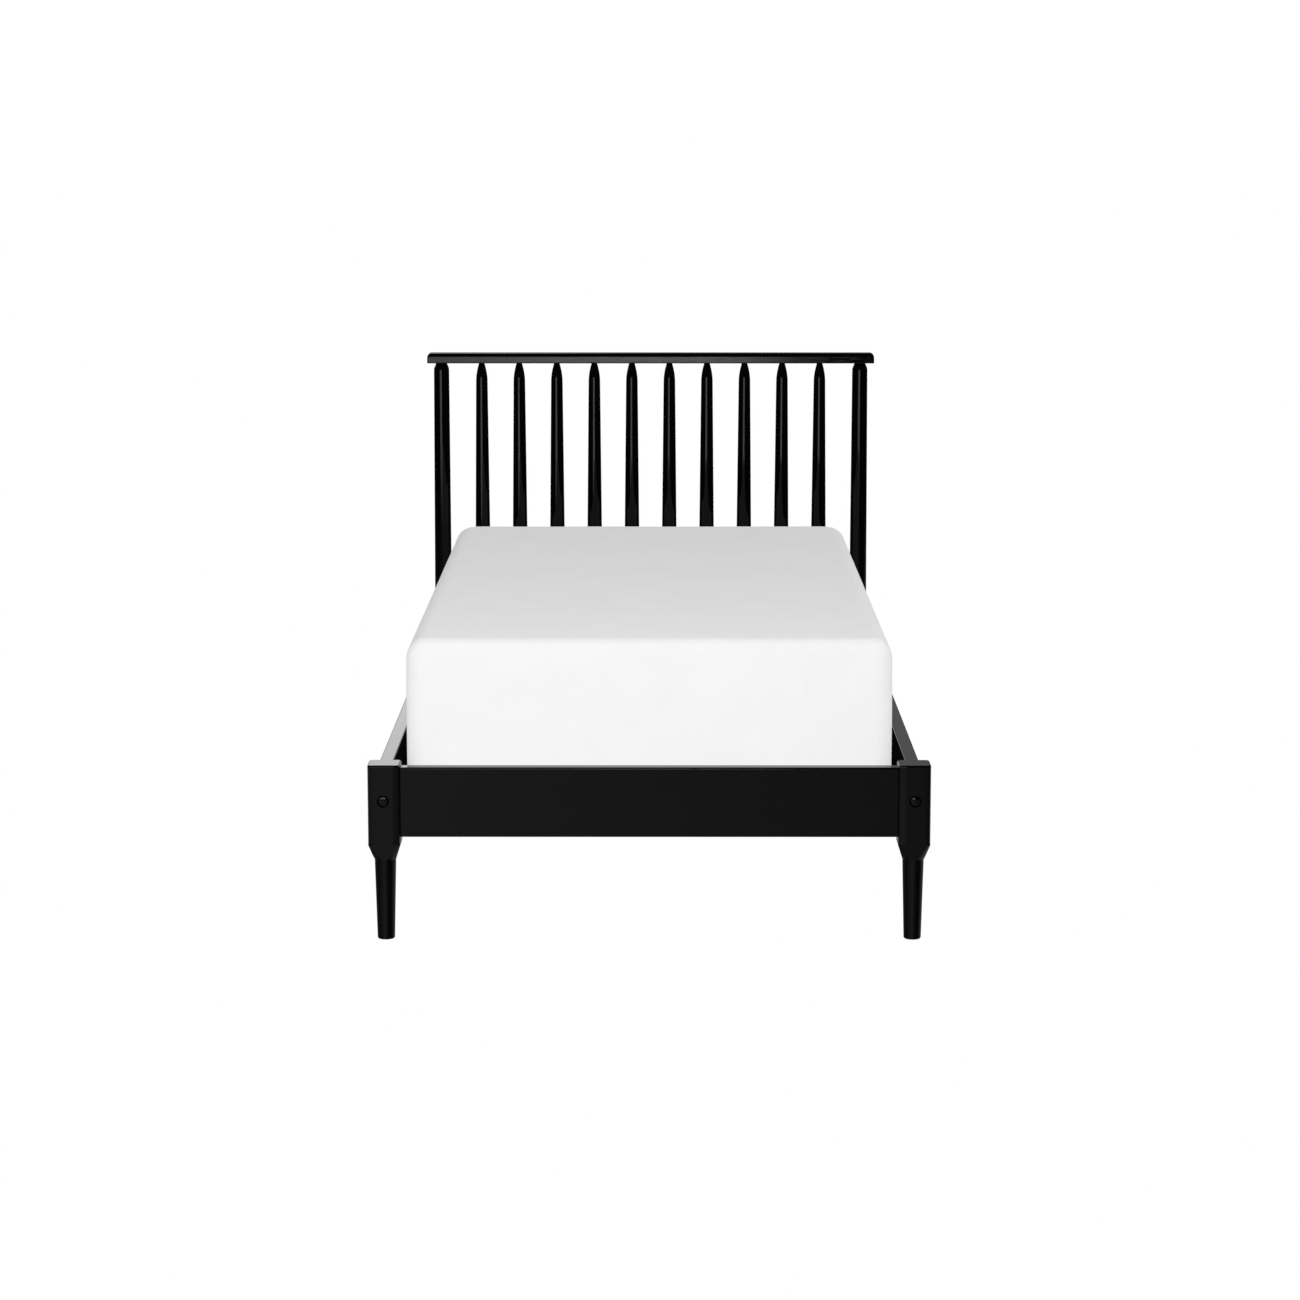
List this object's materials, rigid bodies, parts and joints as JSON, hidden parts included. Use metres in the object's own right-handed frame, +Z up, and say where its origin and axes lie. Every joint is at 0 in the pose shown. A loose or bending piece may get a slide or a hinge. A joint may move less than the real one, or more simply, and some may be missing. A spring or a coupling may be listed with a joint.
{
  "type": "single bed",
  "caption": "Single bed with a spindle headboard between turned posts, low foot rail, tapered legs, slatted base and thick mattress.",
  "frame": {"origin": "on the floor, under the middle of the bed", "axes": "+X to the right seen from the foot end, +Y towards the headboard, +Z up"},
  "size_m": [1.112, 2.044, 1.016],
  "materials": {
    "black_paint": "satin black paint over hardwood",
    "pine": "planed, unfinished",
    "beech": "fluted dowel, unfinished",
    "zinc_steel": "zinc plated",
    "nylon": "moulded, matt",
    "webbing": "woven webbing",
    "ticking": "fine white knit",
    "foam": "cut foam"
  },
  "bodies": {
    "frame": {"headboard_post_left": "black_paint", "headboard_post_right": "black_paint", "crest_rail": "black_paint", "headboard_lower_rail": "black_paint", "spindle_01": "black_paint", "spindle_02": "black_paint", "spindle_03": "black_paint", "spindle_04": "black_paint", "spindle_05": "black_paint", "spindle_06": "black_paint", "spindle_07": "black_paint", "spindle_08": "black_paint", "spindle_09": "black_paint", "spindle_10": "black_paint", "footboard_leg_left": "black_paint", "footboard_leg_right": "black_paint", "footboard_rail": "black_paint", "side_rail_left": "black_paint", "side_rail_right": "black_paint", "slat_ledger_left": "black_paint", "slat_ledger_right": "black_paint", "slat_01": "pine", "slat_02": "pine", "slat_03": "pine", "slat_04": "pine", "slat_05": "pine", "slat_06": "pine", "slat_07": "pine", "slat_08": "pine", "slat_09": "pine", "slat_10": "pine", "slat_11": "pine", "slat_12": "pine", "slat_13": "pine", "slat_14": "pine", "slat_strap_left": "webbing", "slat_strap_right": "webbing", "centre_support_rail": "pine", "support_bracket_head": "zinc_steel", "support_bracket_foot": "zinc_steel", "centre_leg": "pine", "centre_leg_hanger_bolt": "zinc_steel", "leveller_insert": "zinc_steel", "leg_glides": "nylon", "bolt_cap_foot_left": "black_paint", "bolt_cap_foot_right": "black_paint", "bolt_cap_head_left": "black_paint", "bolt_cap_head_right": "black_paint", "corner_bolts": "zinc_steel", "barrel_nuts": "zinc_steel", "rail_dowels": "beech", "ledger_screws": "zinc_steel", "slat_screws": "zinc_steel", "bracket_screws": "zinc_steel"},
    "mattress": {"mattress_cover": "ticking", "mattress_foam_core": "foam"},
    "leveller": {"leveller_pad": "nylon", "leveller_stem": "zinc_steel"}
  },
  "joints": [
    {"name": "mattress_lift", "type": "slide", "parent": "frame", "child": "mattress", "axis": [0, 0, 1], "range_m": [0, 0.75]},
    {"name": "leveller_screw", "type": "slide", "parent": "frame", "child": "leveller", "axis": [0, 0, 1], "range_m": [0, 0.015]}
  ]
}
